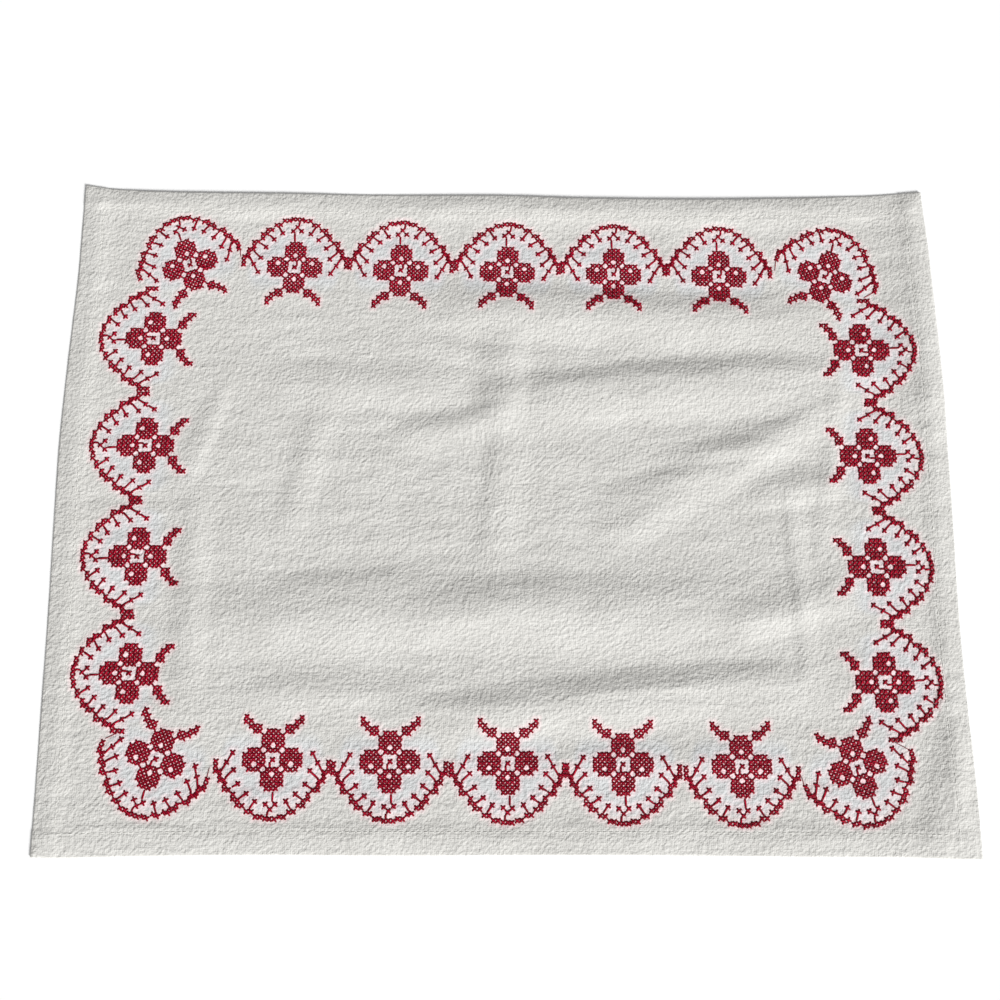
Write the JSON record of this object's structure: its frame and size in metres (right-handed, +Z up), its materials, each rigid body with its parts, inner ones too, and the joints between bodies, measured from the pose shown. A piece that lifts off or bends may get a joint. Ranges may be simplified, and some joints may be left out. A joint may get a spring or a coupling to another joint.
{
  "type": "cloth napkin",
  "caption": "Oblong white cotton napkin with a turned hem, lying flat with soft creases, with a red cross-stitch border of flowers under scalloped arches.",
  "frame": {"origin": "on the surface that the cloth lies on, under the middle of its outline", "axes": "+X along the long sides, +Y along the short sides away from the viewer, +Z up"},
  "size_m": [0.4646, 0.353, 0.0047],
  "materials": {
    "cotton_cloth": "matte off-white plain weave, slightly crinkled",
    "red_floss": "stranded cotton thread with a low sheen",
    "white_thread": "matte cotton sewing thread"
  },
  "bodies": {
    "root": {"napkin_cloth": "cotton_cloth"}
  },
  "joints": []
}
